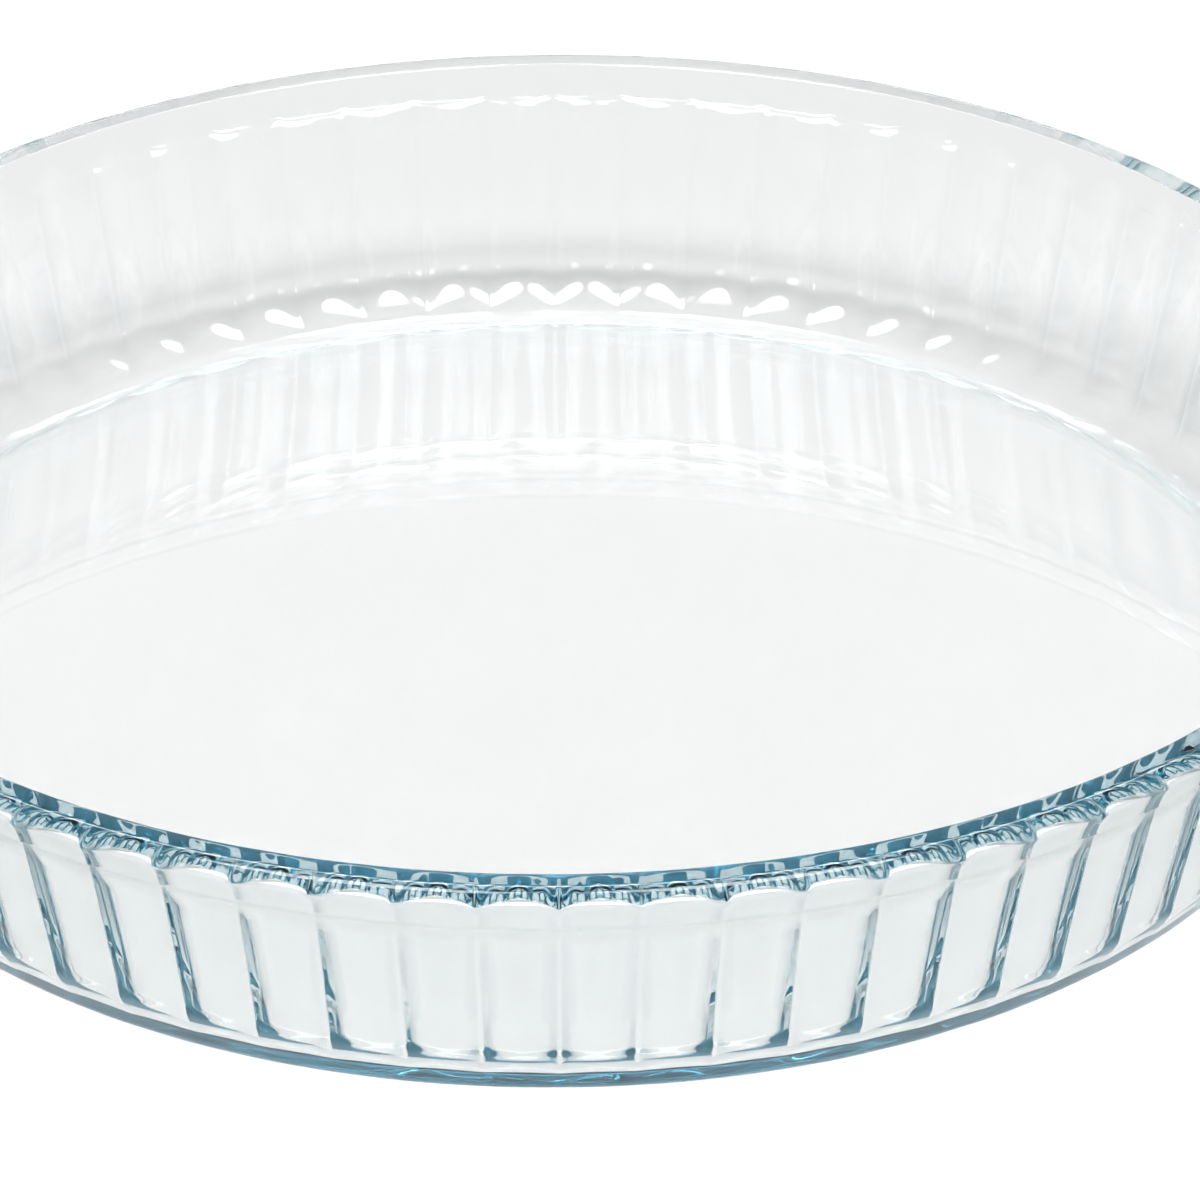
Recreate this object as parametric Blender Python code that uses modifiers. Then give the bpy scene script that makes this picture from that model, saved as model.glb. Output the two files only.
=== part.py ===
"""A round fluted flan dish, pressed from clear glass in one piece.

Metres, +Z up. The origin is the centre of the underside, on the level that the dish rests on.
"""

import math

import bmesh
import bpy

# Overall size
RIM_RADIUS = 0.140  # the widest radius, outside the rim
HEIGHT = 0.0455

# The rim: a flat top, a flare inside and a smooth collar outside, which ends at the mould's parting line
RIM_WIDTH = 0.0058
RIM_INNER_ROUND = 0.0006
RIM_OUTER_ROUND = 0.0024
FLARE_LEAN = math.radians(29.5)
COLLAR_HEIGHT = 0.0074
COLLAR_LEAN = math.radians(23.5)
COLLAR_STEP = 0.0007  # how far the wall stands in under the collar

# The wall and the floor
WALL_LEAN = math.radians(14.0)
WALL_THICKNESS = 0.0048  # in the hollow of a flute
FLOOR_THICKNESS = 0.0042
COVE_ROUND = 0.0097  # inside, from the floor to the wall
HEEL_HEIGHT = 0.0110  # outside, where the heel starts to lean in
HEEL_LEAN = math.radians(33.0)
HEEL_ROUND = 0.0060  # from the heel to the underside

# The flutes: hollows in the wall's inner face with ridges between them, from the floor up to the flare
FLUTE_COUNT = 68
RIDGE_HEIGHT_AT_FLOOR = 0.0016
RIDGE_HEIGHT_AT_RIM = 0.0013

# How finely round shapes are cut
COLUMNS_PER_FLUTE = 3  # a ridge and two places in the hollow beside it
COVE_STEPS = 3
HEEL_STEPS = 2
RIM_INNER_STEPS = 1
RIM_OUTER_STEPS = 3
MERGE_DISTANCE = 0.00001
SHARP_ANGLE = math.radians(40.0)

# The glass
GLASS_COLOUR = (0.86, 0.95, 0.96, 1.0)
GLASS_ROUGHNESS = 0.02
GLASS_IOR = 1.47

# Levels and radii that follow from the sizes above
SEAM_LEVEL = HEIGHT - COLLAR_HEIGHT
SEAM_RADIUS = RIM_RADIUS - (COLLAR_HEIGHT - RIM_OUTER_ROUND) * math.tan(COLLAR_LEAN)
WALL_TOP = SEAM_LEVEL - COLLAR_STEP
FLARE_TOP = HEIGHT - RIM_INNER_ROUND
FLARE_GAIN = math.tan(FLARE_LEAN) - math.tan(WALL_LEAN)  # how much faster the flare opens than the wall
RIDGE_GAIN = (RIDGE_HEIGHT_AT_RIM - RIDGE_HEIGHT_AT_FLOOR) / (HEIGHT - FLOOR_THICKNESS)
COLUMN_ANGLE = math.tau / (FLUTE_COUNT * COLUMNS_PER_FLUTE)


def clear_scene():
    for item in list(bpy.data.objects):
        bpy.data.objects.remove(item, do_unlink=True)


def new_collection(name):
    collection = bpy.data.collections.new(name)
    bpy.context.scene.collection.children.link(collection)
    return collection


def glass_material():
    material = bpy.data.materials.new("clear_glass")
    material.use_nodes = True
    shader = material.node_tree.nodes["Principled BSDF"]
    shader.inputs["Base Color"].default_value = GLASS_COLOUR
    shader.inputs["Metallic"].default_value = 0.0
    shader.inputs["Roughness"].default_value = GLASS_ROUGHNESS
    shader.inputs["IOR"].default_value = GLASS_IOR
    shader.inputs["Transmission Weight"].default_value = 1.0
    material.diffuse_color = GLASS_COLOUR
    return material


def outer_wall(level):
    """Radius of the wall's outer face."""
    return SEAM_RADIUS - COLLAR_STEP - (SEAM_LEVEL - level) * math.tan(WALL_LEAN)


def inner_wall(level):
    """Radius of the wall's inner face, in the hollow of a flute."""
    return outer_wall(level) - WALL_THICKNESS / math.cos(WALL_LEAN)


def arc(centre, radius, start, end, steps):
    """Points (radius, level) on an arc, with angles measured up from the outward direction."""
    turns = [start + (end - start) * step / steps for step in range(steps + 1)]
    return [(centre[0] + radius * math.cos(turn), centre[1] + radius * math.sin(turn)) for turn in turns]


def flare(level):
    """Radius of the plain flare inside the rim."""
    return RIM_RADIUS - RIM_WIDTH - (FLARE_TOP - level) * math.tan(FLARE_LEAN)


def heel(level):
    """Radius of the plain heel, above its round."""
    return outer_wall(HEEL_HEIGHT) - (HEEL_HEIGHT - level) * math.tan(HEEL_LEAN)


def plain(points):
    """Profile points whose radius is the same all the way round."""
    return [(radius, level, radius) for radius, level in points]


def ridge_height(level):
    return RIDGE_HEIGHT_AT_FLOOR + (level - FLOOR_THICKNESS) * RIDGE_GAIN


def inner_profile():
    """The floor, the cove, the wall's inner face and the foot of the flare, from the middle outwards."""
    cove_level = FLOOR_THICKNESS + COVE_ROUND
    cove_centre = (inner_wall(cove_level) - COVE_ROUND / math.cos(WALL_LEAN), cove_level)
    flare_foot = FLARE_TOP - (flare(FLARE_TOP) - inner_wall(FLARE_TOP)) / FLARE_GAIN
    ridge_end = flare_foot - ridge_height(flare_foot) / (FLARE_GAIN + RIDGE_GAIN)
    points = arc(cove_centre, COVE_ROUND, -math.pi / 2, -WALL_LEAN, COVE_STEPS)
    points.append((inner_wall(ridge_end), ridge_end))
    ridged = [(radius, level, radius - ridge_height(level)) for radius, level in points]
    return plain([(0.0, FLOOR_THICKNESS)]) + ridged + plain([(flare(flare_foot), flare_foot)])


def rim_profile():
    """Over the rim, from the top of the flare to the foot of the collar."""
    inner_centre = (RIM_RADIUS - RIM_WIDTH + RIM_INNER_ROUND, HEIGHT - RIM_INNER_ROUND)
    outer_centre = (RIM_RADIUS - RIM_OUTER_ROUND, HEIGHT - RIM_OUTER_ROUND)
    points = arc(inner_centre, RIM_INNER_ROUND, math.pi, math.pi / 2, RIM_INNER_STEPS)
    points += arc(outer_centre, RIM_OUTER_ROUND, math.pi / 2, 0.0, RIM_OUTER_STEPS)
    points.append((SEAM_RADIUS, SEAM_LEVEL))
    return plain(points)


def outer_profile():
    """The wall's outer face, the heel and the underside, down and back to the middle."""
    round_top = HEEL_ROUND * (1 - math.sin(HEEL_LEAN))
    round_centre = (heel(round_top) - HEEL_ROUND * math.cos(HEEL_LEAN), HEEL_ROUND)
    points = [(outer_wall(WALL_TOP), WALL_TOP), (outer_wall(HEEL_HEIGHT), HEEL_HEIGHT)]
    points += arc(round_centre, HEEL_ROUND, -HEEL_LEAN, -math.pi / 2, HEEL_STEPS)
    points.append((0.0, 0.0))
    return plain(points)


def turned_mesh(name, profile):
    """The profile's points, turned round the Z axis with a Screw modifier."""
    columns = FLUTE_COUNT * COLUMNS_PER_FLUTE
    outline = bpy.data.meshes.new(name + "_outline")
    points = [(radius, 0.0, level) for radius, level, _ in profile]
    outline.from_pydata(points, [(index, index + 1) for index in range(len(points) - 1)], [])
    turned = bpy.data.objects.new(name + "_outline", outline)
    bpy.context.scene.collection.objects.link(turned)
    screw = turned.modifiers.new("turn", "SCREW")
    screw.axis = "Z"
    screw.angle = math.tau
    screw.steps = columns
    screw.render_steps = columns
    screw.use_merge_vertices = True
    screw.merge_threshold = MERGE_DISTANCE
    evaluated = turned.evaluated_get(bpy.context.evaluated_depsgraph_get())
    mesh = bpy.data.meshes.new_from_object(evaluated)
    bpy.data.objects.remove(turned, do_unlink=True)
    bpy.data.meshes.remove(outline)
    return mesh


def press_flutes(mesh, profile):
    """Moves every third of the turned columns in to a ridge, each ring to its own radius there."""
    for vertex in mesh.vertices:
        radius = math.hypot(vertex.co.x, vertex.co.y)
        column = round(math.atan2(vertex.co.y, vertex.co.x) / COLUMN_ANGLE)
        if radius < MERGE_DISTANCE or column % COLUMNS_PER_FLUTE:
            continue
        ring = min(profile, key=lambda point: math.hypot(point[0] - radius, point[1] - vertex.co.z))
        vertex.co.x *= ring[2] / radius
        vertex.co.y *= ring[2] / radius


def triangulate(mesh):
    """Cuts every face into triangles, so that the bent faces of the flutes are exact."""
    cut = bmesh.new()
    cut.from_mesh(mesh)
    bmesh.ops.triangulate(cut, faces=cut.faces[:], quad_method="SHORT_EDGE")
    cut.to_mesh(mesh)
    cut.free()


def flan_dish():
    profile = inner_profile() + rim_profile() + outer_profile()
    mesh = turned_mesh("flan_dish", profile)
    press_flutes(mesh, profile)
    triangulate(mesh)
    mesh.shade_smooth()
    mesh.set_sharp_from_angle(angle=SHARP_ANGLE)
    mesh.materials.clear()
    mesh.materials.append(glass_material())
    return bpy.data.objects.new("flan_dish", mesh)


def main():
    clear_scene()
    new_collection("fluted_flan_dish").objects.link(flan_dish())


main()
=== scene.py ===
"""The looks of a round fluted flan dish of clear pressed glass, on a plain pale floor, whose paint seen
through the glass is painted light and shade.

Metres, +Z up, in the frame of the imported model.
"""

import math

import bpy
import numpy as np
from mathutils import Matrix, Vector

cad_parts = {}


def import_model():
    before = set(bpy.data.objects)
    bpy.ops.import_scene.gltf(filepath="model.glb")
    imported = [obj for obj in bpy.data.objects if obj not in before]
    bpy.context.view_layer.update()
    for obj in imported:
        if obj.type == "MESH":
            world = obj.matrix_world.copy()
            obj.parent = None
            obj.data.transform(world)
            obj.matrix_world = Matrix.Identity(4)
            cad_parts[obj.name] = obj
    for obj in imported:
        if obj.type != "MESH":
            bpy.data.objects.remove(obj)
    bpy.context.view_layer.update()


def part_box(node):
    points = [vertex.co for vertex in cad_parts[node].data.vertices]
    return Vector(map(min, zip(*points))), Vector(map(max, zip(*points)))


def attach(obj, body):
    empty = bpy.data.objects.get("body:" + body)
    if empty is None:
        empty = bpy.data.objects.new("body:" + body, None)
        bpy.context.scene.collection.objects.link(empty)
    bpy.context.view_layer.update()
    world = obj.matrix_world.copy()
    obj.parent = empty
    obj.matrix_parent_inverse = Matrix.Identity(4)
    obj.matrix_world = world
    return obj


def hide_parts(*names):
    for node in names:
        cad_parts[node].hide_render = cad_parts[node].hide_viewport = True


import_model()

# The dish's size, from the frame
DISH_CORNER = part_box("flan_dish")[1]
RIM_RADIUS = DISH_CORNER.x
HEIGHT = DISH_CORNER.z

# The rim: a flat top, a flare inside and a collar outside, which ends at the parting line
RIM_WIDTH = 0.0058
RIM_INNER_ROUND = 0.0006
RIM_OUTER_ROUND = 0.0024
FLARE_LEAN = math.radians(29.5)
FLARE_DEPTH = 0.0085  # how far down from the rim the rings lie close together
COLLAR_HEIGHT = 0.0074
COLLAR_LEAN = math.radians(23.5)
COLLAR_STEP = 0.0007  # how far the wall stands in under the collar

# The fine bead that the mould's joint leaves on the parting line
BEAD = 0.00012  # how far it stands out
BEAD_TOP = 0.0005  # where it starts and where it is full, up from the parting line
BEAD_LEVEL = 0.0001
BEAD_FOOT_IN = 0.0001  # where it ends, in and down from the parting line
BEAD_FOOT_DOWN = 0.0002

# The wall and the floor
WALL_LEAN = math.radians(14.0)
WALL_THICKNESS = 0.0048  # in the hollow of a flute
FLOOR_THICKNESS = 0.0042
COVE_ROUND = 0.0097  # inside, from the floor to the wall
HEEL_HEIGHT = 0.0110  # outside, where the heel starts to lean in
HEEL_LEAN = math.radians(33.0)
HEEL_ROUND = 0.0060  # from the heel to the underside
HEEL_BLEND = 0.0010  # how far above the heel the rings start to lie closer together

# The flutes: round hollows in the wall's inner face, with a narrow ridge between each two
FLUTE_COUNT = 68
RIDGE_HEIGHT_AT_FLOOR = 0.0017
RIDGE_HEIGHT_AT_RIM = 0.0013
RIDGE_ROUND = 0.0005  # half the width over which a ridge's top is rounded
HOLLOW_END = 0.0060  # how far above the floor a hollow starts to close

# How the pressed glass strays from its true shape: in the height of its ridges, and in slow waves
RIDGE_UNEVENNESS = 0.10  # how far the ridges differ in height, as a share of it
UNEVEN_RATES = (2.4, 3.7)  # radians from one ridge to the next, in two swings
UNEVEN_START = 1.3
WAVE = 0.00003
WAVE_ROUND = (37, 11, 61)  # radians for each radian round the dish, in three waves
WAVE_UP = (260, -170, -410)  # radians for each metre up
WAVE_START = 1.0
LAST_WAVE_SHARE = 0.6
TRUE_EDGE = 0.0002  # how deep the widest part of the rim is left true

# How finely the shapes are cut, and how softly they meet
COLUMNS_PER_FLUTE = 14
COLUMN_PULL = 0.8  # how far the columns close in on the ridges
FLAT_RINGS = (0.0, 0.035, 0.07, 0.10)  # radii on the floor and the underside
COVE_STEPS = 14
WALL_STEPS = 5
FLARE_STEPS = 16
RIM_INNER_STEPS = 5
RIM_OUTER_STEPS = 10
OUTER_STEPS = 7
HEEL_STEPS = 13
HEEL_ROUND_STEPS = 9
EDGE_BLEND = 0.0004  # how softly one face runs into the next

# The glass, clear on its face and blue-green where the light's way through it is long
WHITE = (1.0, 1.0, 1.0, 1.0)
GLASS_ROUGHNESS = 0.0
GLASS_IOR = 1.47
ABSORPTION_COLOUR = (0.0, 0.51, 0.635, 1.0)
ABSORPTION_DENSITY = 10.0

# The floor, and its paint under the dish, behind it and in front of it: a painted pool of light under the
# dish, painted shade behind it and darker painted shade in front of it
FLOOR_SIZE = 14.0
FLOOR_GAP = 0.0003  # how far it lies under the dish
PAINTED_LIGHT_UNDER_DISH = (1.0, 0.97, 0.955, 1.0)
PAINTED_SHADE_BEHIND_DISH = (0.75, 0.735, 0.73, 1.0)
PAINTED_SHADE_BEFORE_DISH = (0.30, 0.30, 0.30, 1.0)
FLOOR_EDGE = (0.125, 0.150)  # between these distances from the middle the painted pool of light under the dish ends
FLOOR_TURN = (-0.08, 0.02)  # between these places along Y the darker painted shade in front turns into the painted shade behind

# The floor's own light, and its share in what is seen of the floor past the dish and through the glass,
# where that light takes the colour of the painted light and shade
FLOOR_GLOW = 1.12
FLOOR_GLOW_SHARE = 0.9
GLASS_GLOW_SHARE = 0.42

# The studio's light, which comes from the sky. Each light lies round an axis and has three numbers:
# the cosine to the axis where it starts, the one where it is full, and how bright it is there.
SKY_BASE = 0.03
UP = (0, 0, 1)
DOWN = (0, 0, -1)
BACK = (0, 1, 0)
SKY_TOP = (0.60, 0.95, 0.4)
SKY_BACK = (0.70, 0.90, 0.5)
LAMP_SIDES = ((-0.27, -0.30, 0.91), (0.27, -0.30, 0.91))
LAMP = (0.965, 0.985, 11.0)
# A strip of light high behind the dish, the product of three: its lower edge, its upper edge and its ends
STRIP_LOW = (0.74, 0.78, 1.0)
STRIP_HIGH = (-0.88, -0.84, 1.0)
STRIP_ENDS = (0.50, 0.54, 10.0)
LIGHT_BOUNCES = 48  # enough for the light's way through many ridges

# The camera, from the photograph's perspective
CAMERA_DISTANCE = 1.420
CAMERA_ELEVATION = math.radians(28.55)
CAMERA_ROLL = math.radians(-0.21)
CAMERA_LENS = 266.4
CAMERA_SENSOR = 36.0
CAMERA_CLIP = (0.05, 50.0)
FRAME_PIXELS = 1200
RIM_CENTRE_X = 556.8  # where the middle of the rim's circle lies in the frame, in pixels
RIM_CENTRE_Y = 435.2

# Levels and radii that follow from the sizes above
SEAM_LEVEL = HEIGHT - COLLAR_HEIGHT
SEAM_RADIUS = RIM_RADIUS - (COLLAR_HEIGHT - RIM_OUTER_ROUND) * math.tan(COLLAR_LEAN)
WALL_TOP = SEAM_LEVEL - COLLAR_STEP
FLARE_TOP = HEIGHT - RIM_INNER_ROUND
FLUTE_ANGLE = math.tau / FLUTE_COUNT


def outer_wall(level):
    """Radius of the wall's outer face."""
    return SEAM_RADIUS - COLLAR_STEP - (SEAM_LEVEL - level) * math.tan(WALL_LEAN)


def inner_wall(level):
    """Radius of the wall's inner face, in the hollow of a flute."""
    return outer_wall(level) - WALL_THICKNESS / math.cos(WALL_LEAN)


def flare(level):
    """Radius of the plain flare inside the rim."""
    return RIM_RADIUS - RIM_WIDTH - (FLARE_TOP - level) * math.tan(FLARE_LEAN)


def heel(level):
    """Radius of the plain heel, above its round."""
    return outer_wall(HEEL_HEIGHT) - (HEEL_HEIGHT - level) * math.tan(HEEL_LEAN)


def arc(centre, radius, start, end, steps):
    """Points (radius, level) on an arc, with angles measured up from the outward direction."""
    turns = np.linspace(start, end, steps + 1)
    return [(centre[0] + radius * math.cos(turn), centre[1] + radius * math.sin(turn)) for turn in turns]


def smaller(first, second):
    """The smaller of two radii, with a soft change from one to the other."""
    share = np.clip(0.5 + 0.5 * (second - first) / EDGE_BLEND, 0.0, 1.0)
    return second * (1 - share) + first * share - EDGE_BLEND * share * (1 - share)


def larger(first, second):
    """The larger of two radii, with a soft change from one to the other."""
    return -smaller(-first, -second)


def column_shares():
    """Places across one flute, as shares of its pitch, closer together at the ridge."""
    shares = np.arange(COLUMNS_PER_FLUTE) / COLUMNS_PER_FLUTE
    return shares - COLUMN_PULL * np.sin(math.tau * shares) / math.tau


def column_turns():
    """Angle of each column of all flutes."""
    return ((np.arange(FLUTE_COUNT)[:, None] + column_shares()) * FLUTE_ANGLE).ravel()


def ridge_sizes():
    """How high each ridge stands, as a share of its plain height."""
    number = np.arange(FLUTE_COUNT)
    swings = np.sin(UNEVEN_RATES[0] * number) + np.sin(UNEVEN_RATES[1] * number + UNEVEN_START)
    return 1 + RIDGE_UNEVENNESS * swings / 2


def ridge_shape():
    """About 1 on the line of a ridge, 0 in the middle of the hollow, for each column of all flutes."""
    away = 2 * np.minimum(column_shares(), 1 - column_shares())
    turn = RIDGE_ROUND / (RIM_RADIUS * FLUTE_ANGLE / 2)
    shape = np.where(away < turn, 1 - away ** 2 / turn, (1 - away) ** 2 / (1 - turn))
    sizes = ridge_sizes()
    nearest = np.where(column_shares() < 0.5, sizes[:, None], np.roll(sizes, -1)[:, None])
    return (shape * nearest).ravel()


def waves(turns, level):
    """How far the glass strays from its true radius, by place."""
    first, across, last = [fast * turns + up * level for fast, up in zip(WAVE_ROUND, WAVE_UP)]
    return WAVE * (np.sin(first) * np.sin(across) + LAST_WAVE_SHARE * np.sin(last + WAVE_START))


def ridge_height(level):
    share = (level - FLOOR_THICKNESS) / (HEIGHT - FLOOR_THICKNESS)
    return RIDGE_HEIGHT_AT_FLOOR + (RIDGE_HEIGHT_AT_RIM - RIDGE_HEIGHT_AT_FLOOR) * share


def standing_in(ridge, level):
    """How far the inner face stands in at each column, with hollows that close towards the floor."""
    up = min((level - FLOOR_THICKNESS) / HOLLOW_END, 1.0)
    closed = (1 - up) ** 2 * (1 + 2 * up)
    return ridge_height(level) * (ridge + (1 - ridge) * closed)


def plain(points, ridge):
    """Rings whose radius is the same in every column."""
    return [(radius + 0 * ridge, level) for radius, level in points]


def inner_rings(ridge):
    """Rings (radius in each column, level) of the inner face, from the middle outwards and up."""
    cove_level = FLOOR_THICKNESS + COVE_ROUND
    cove_centre = (inner_wall(cove_level) - COVE_ROUND / math.cos(WALL_LEAN), cove_level)
    cove = arc(cove_centre, COVE_ROUND, -math.pi / 2, -WALL_LEAN, COVE_STEPS)
    rings = plain([(radius, FLOOR_THICKNESS) for radius in FLAT_RINGS], ridge)
    rings += [(radius - standing_in(ridge, level), level) for radius, level in cove]
    flare_low = FLARE_TOP - FLARE_DEPTH
    levels = list(np.linspace(cove[-1][1], flare_low, WALL_STEPS + 1)[1:])
    levels += list(np.linspace(flare_low, FLARE_TOP, FLARE_STEPS + 1)[1:])
    for level in levels:
        rings.append((larger(inner_wall(level) - standing_in(ridge, level), flare(level)), level))
    return rings


def rim_rings(ridge):
    """Rings over the rim and down the collar to the parting line."""
    inner_centre = (RIM_RADIUS - RIM_WIDTH + RIM_INNER_ROUND, HEIGHT - RIM_INNER_ROUND)
    outer_centre = (RIM_RADIUS - RIM_OUTER_ROUND, HEIGHT - RIM_OUTER_ROUND)
    points = arc(inner_centre, RIM_INNER_ROUND, math.pi - FLARE_LEAN, math.pi / 2, RIM_INNER_STEPS)
    points += arc(outer_centre, RIM_OUTER_ROUND, math.pi / 2, -COLLAR_LEAN, RIM_OUTER_STEPS)
    points.append((SEAM_RADIUS + BEAD_TOP * math.tan(COLLAR_LEAN), SEAM_LEVEL + BEAD_TOP))
    points.append((SEAM_RADIUS + BEAD, SEAM_LEVEL + BEAD_LEVEL))
    points.append((SEAM_RADIUS - BEAD_FOOT_IN, SEAM_LEVEL - BEAD_FOOT_DOWN))
    return plain(points, ridge)


def outer_rings(ridge):
    """Rings of the outer face, the heel and the underside, down and back to the middle."""
    round_top = HEEL_ROUND * (1 - math.sin(HEEL_LEAN))
    round_centre = (heel(round_top) - HEEL_ROUND * math.cos(HEEL_LEAN), HEEL_ROUND)
    blend_top = HEEL_HEIGHT + HEEL_BLEND
    levels = list(np.linspace(WALL_TOP, blend_top, OUTER_STEPS + 1))
    levels += list(np.linspace(blend_top, round_top, HEEL_STEPS + 1)[1:-1])
    points = [(smaller(outer_wall(level), heel(level)), level) for level in levels]
    points += arc(round_centre, HEEL_ROUND, -HEEL_LEAN, -math.pi / 2, HEEL_ROUND_STEPS)
    points += [(radius, 0.0) for radius in reversed(FLAT_RINGS)]
    return plain(points, ridge)


def dish_points(rings):
    """Points of all rings in turn, then the middles of the floor and of the underside."""
    radius = np.array([radii for radii, _ in rings[1:-1]])
    level = np.array([level for _, level in rings[1:-1]])[:, None] + 0 * radius
    turns = column_turns()
    radius += waves(turns, level) * (level > 0) * (radius < RIM_RADIUS - TRUE_EDGE)
    points = np.stack([radius * np.cos(turns), radius * np.sin(turns), level], axis=-1).reshape(-1, 3)
    middles = [(0, 0, rings[0][1]), (0, 0, rings[-1][1])]
    return np.vstack([points, middles]).tolist()


def dish_faces(ring_count):
    """Four-sided faces between the rings, and a fan of triangles round each middle."""
    columns = FLUTE_COUNT * COLUMNS_PER_FLUTE
    middle = ring_count * columns
    here = np.arange(middle).reshape(ring_count, columns)
    beside = np.roll(here, -1, axis=1)
    faces = np.stack([here[:-1], here[1:], beside[1:], beside[:-1]], axis=-1).reshape(-1, 4).tolist()
    faces += [(middle, first, second) for first, second in zip(here[0], beside[0])]
    faces += [(middle + 1, second, first) for first, second in zip(here[-1], beside[-1])]
    return faces


def dish_mesh():
    ridge = ridge_shape()
    rings = inner_rings(ridge) + rim_rings(ridge) + outer_rings(ridge)
    mesh = bpy.data.meshes.new("flan_dish_glass")
    mesh.from_pydata(dish_points(rings), [], dish_faces(len(rings) - 2))
    mesh.update()
    mesh.shade_smooth()
    return mesh


def glass_material():
    material = bpy.data.materials.new("clear_pressed_glass")
    material.use_nodes = True
    tree = material.node_tree
    shader = tree.nodes["Principled BSDF"]
    shader.inputs["Base Color"].default_value = WHITE
    shader.inputs["Roughness"].default_value = GLASS_ROUGHNESS
    shader.inputs["IOR"].default_value = GLASS_IOR
    shader.inputs["Transmission Weight"].default_value = 1.0
    absorb = tree.nodes.new("ShaderNodeVolumeAbsorption")
    absorb.inputs["Color"].default_value = ABSORPTION_COLOUR
    absorb.inputs["Density"].default_value = ABSORPTION_DENSITY
    tree.links.new(absorb.outputs["Volume"], tree.nodes["Material Output"].inputs["Volume"])
    return material


def set_or_link(tree, socket, value):
    """Gives a socket a plain value, or links it to another socket."""
    if isinstance(value, (float, tuple)):
        socket.default_value = value
    else:
        tree.links.new(value, socket)


def joined(tree, operation, first, second):
    """The result of a sum on two numbers, each a value or a socket."""
    node = tree.nodes.new("ShaderNodeMath")
    node.operation = operation
    set_or_link(tree, node.inputs[0], first)
    set_or_link(tree, node.inputs[1], second)
    return node.outputs[0]


def rising(tree, value, low, high, full=1.0):
    """A number that rises smoothly from 0, where the value is low, to full, where it is high."""
    step = tree.nodes.new("ShaderNodeMapRange")
    step.interpolation_type = "SMOOTHSTEP"
    step.inputs["From Min"].default_value = low
    step.inputs["From Max"].default_value = high
    step.inputs["To Max"].default_value = full
    tree.links.new(value, step.inputs["Value"])
    return step.outputs["Result"]


def blended(tree, share, first, second):
    """A colour between two others, each a value or a socket."""
    blend = tree.nodes.new("ShaderNodeMix")
    blend.data_type = "RGBA"
    tree.links.new(share, blend.inputs["Factor"])
    # This node's sockets for numbers, vectors and colours share their names, so the colours go by place
    set_or_link(tree, blend.inputs[6], first)
    set_or_link(tree, blend.inputs[7], second)
    return blend.outputs[2]


def mixed(tree, share, first, second):
    """A surface between two others."""
    mix = tree.nodes.new("ShaderNodeMixShader")
    tree.links.new(share, mix.inputs[0])
    tree.links.new(first, mix.inputs[1])
    tree.links.new(second, mix.inputs[2])
    return mix.outputs[0]


def painted_floor_shade(tree):
    """The floor's paint, which is darker away from the dish, and darkest in front of it: a painted pool
    of light under the dish and painted shade round it.
    """
    place = tree.nodes.new("ShaderNodeTexCoord").outputs["Object"]
    away = tree.nodes.new("ShaderNodeVectorMath")
    away.operation = "LENGTH"
    tree.links.new(place, away.inputs[0])
    parts = tree.nodes.new("ShaderNodeSeparateXYZ")
    tree.links.new(place, parts.inputs[0])
    # Painted shade round the dish, darker in front of it than behind it
    around = blended(tree, rising(tree, parts.outputs["Y"], *FLOOR_TURN), PAINTED_SHADE_BEFORE_DISH, PAINTED_SHADE_BEHIND_DISH)
    # A painted pool of light under the dish, which ends in the painted shade round it
    return blended(tree, rising(tree, away.outputs["Value"], *FLOOR_EDGE), PAINTED_LIGHT_UNDER_DISH, around)


def floor_material():
    """Paint that takes shadows and glows: white where seen directly, and through glass in its painted
    light and shade.
    """
    material = bpy.data.materials.new("pale_floor")
    material.use_nodes = True
    tree = material.node_tree
    tree.nodes.remove(tree.nodes["Principled BSDF"])
    # The painted light and shade, for the paint and for the glow seen in the glass
    shade = painted_floor_shade(tree)
    paint = tree.nodes.new("ShaderNodeBsdfDiffuse")
    tree.links.new(shade, paint.inputs["Color"])
    white = tree.nodes.new("ShaderNodeEmission")
    white.inputs["Strength"].default_value = FLOOR_GLOW
    # A glow in the colour of the painted light and shade, seen in and through the glass
    painted_shade_glow = tree.nodes.new("ShaderNodeEmission")
    painted_shade_glow.inputs["Strength"].default_value = FLOOR_GLOW
    tree.links.new(shade, painted_shade_glow.inputs["Color"])
    path = tree.nodes.new("ShaderNodeLightPath")
    glass = joined(tree, "MAXIMUM", path.outputs["Is Glossy Ray"], path.outputs["Is Transmission Ray"])
    through = joined(tree, "MULTIPLY", glass, GLASS_GLOW_SHARE)
    seen = mixed(tree, through, paint.outputs[0], painted_shade_glow.outputs[0])
    direct = joined(tree, "MULTIPLY", path.outputs["Is Camera Ray"], FLOOR_GLOW_SHARE)
    seen = mixed(tree, direct, seen, white.outputs[0])
    tree.links.new(seen, tree.nodes["Material Output"].inputs["Surface"])
    return material


def floor():
    bpy.ops.mesh.primitive_plane_add(size=FLOOR_SIZE, location=(0, 0, -FLOOR_GAP))
    plane = bpy.context.object
    plane.name = "studio_floor"
    plane.data.materials.append(floor_material())


def lobe(tree, axis, low, high, strength):
    """Light from the sky round an axis, by the cosine to it: none at low, full at high."""
    coordinates = tree.nodes.new("ShaderNodeTexCoord")
    along = tree.nodes.new("ShaderNodeVectorMath")
    along.operation = "DOT_PRODUCT"
    along.inputs[1].default_value = Vector(axis).normalized()
    tree.links.new(coordinates.outputs["Generated"], along.inputs[0])
    return rising(tree, along.outputs["Value"], low, high, strength)


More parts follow.
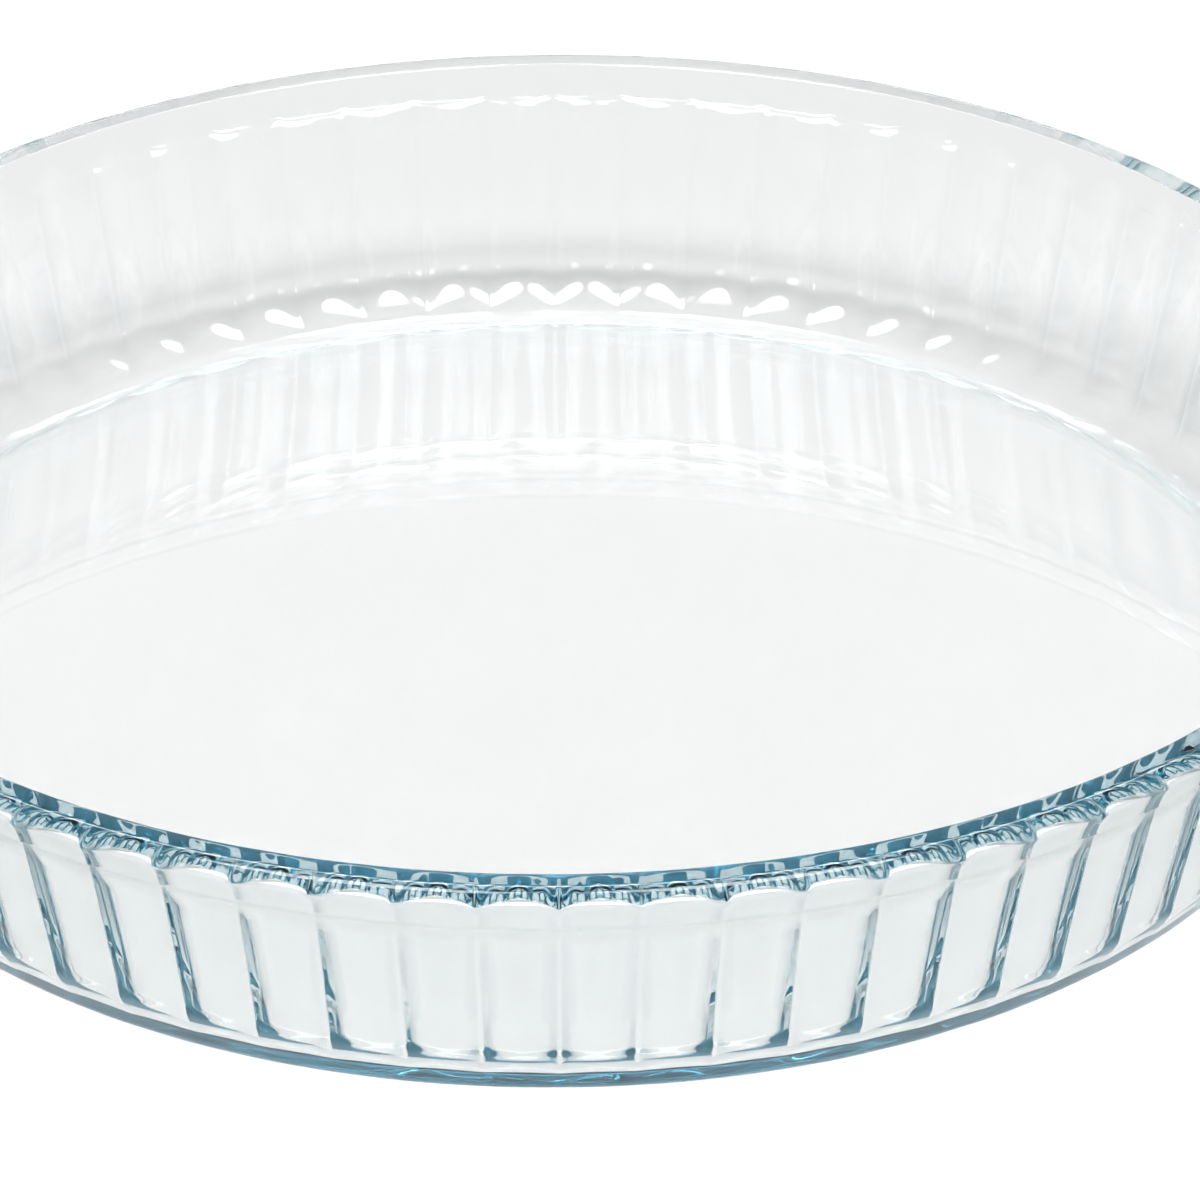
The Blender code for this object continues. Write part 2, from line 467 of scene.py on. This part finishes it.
def studio_light(tree):
    """The sky's brightness: a dim base, a soft top and back, two lamps and a strip behind."""
    light = joined(tree, "ADD", SKY_BASE, lobe(tree, UP, *SKY_TOP))
    for side in LAMP_SIDES:
        light = joined(tree, "ADD", light, lobe(tree, side, *LAMP))
    light = joined(tree, "ADD", light, lobe(tree, BACK, *SKY_BACK))
    strip = joined(tree, "MULTIPLY", lobe(tree, UP, *STRIP_LOW), lobe(tree, DOWN, *STRIP_HIGH))
    strip = joined(tree, "MULTIPLY", strip, lobe(tree, BACK, *STRIP_ENDS))
    return joined(tree, "ADD", light, strip)


def world():
    """The studio's light, and a white background in its place where the camera looks past everything."""
    sky = bpy.data.worlds.new("studio")
    bpy.context.scene.world = sky
    sky.use_nodes = True
    tree = sky.node_tree
    studio = tree.nodes["Background"]
    tree.links.new(studio_light(tree), studio.inputs["Color"])
    white = tree.nodes.new("ShaderNodeBackground")
    white.inputs["Color"].default_value = WHITE
    path = tree.nodes.new("ShaderNodeLightPath")
    seen = mixed(tree, path.outputs["Is Camera Ray"], studio.outputs[0], white.outputs[0])
    tree.links.new(seen, tree.nodes["World Output"].inputs["Surface"])


def camera():
    """A long lens in front of the dish and above it, aimed so that the rim lies as in the photograph."""
    data = bpy.data.cameras.new("camera")
    data.lens = CAMERA_LENS
    data.sensor_width = CAMERA_SENSOR
    data.clip_start, data.clip_end = CAMERA_CLIP
    thing = bpy.data.objects.new("camera", data)
    bpy.context.scene.collection.objects.link(thing)
    bpy.context.scene.camera = thing
    target = Vector((0.0, 0.0, HEIGHT))
    back = Vector((0.0, -math.cos(CAMERA_ELEVATION), math.sin(CAMERA_ELEVATION)))
    right = Vector((1.0, 0.0, 0.0))
    up = back.cross(right)
    focal = CAMERA_LENS / CAMERA_SENSOR * FRAME_PIXELS
    across = (FRAME_PIXELS / 2 - RIM_CENTRE_X) / focal * CAMERA_DISTANCE
    down = (FRAME_PIXELS / 2 - RIM_CENTRE_Y) / focal * CAMERA_DISTANCE
    thing.location = target + back * CAMERA_DISTANCE
    aim = target + right * across - up * down
    turn = (aim - thing.location).to_track_quat("-Z", "Y")
    thing.rotation_mode = "QUATERNION"
    thing.rotation_quaternion = turn @ Matrix.Rotation(CAMERA_ROLL, 3, "Z").to_quaternion()


def main():
    dish = bpy.data.objects.new("flan_dish_glass", dish_mesh())
    dish.data.materials.append(glass_material())
    bpy.context.scene.collection.objects.link(dish)
    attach(dish, "root")
    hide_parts("flan_dish")
    floor()
    world()
    camera()
    bpy.context.scene.view_settings.view_transform = "Standard"
    cycles = bpy.context.scene.cycles
    cycles.max_bounces = LIGHT_BOUNCES
    cycles.transmission_bounces = LIGHT_BOUNCES
    cycles.glossy_bounces = LIGHT_BOUNCES


main()
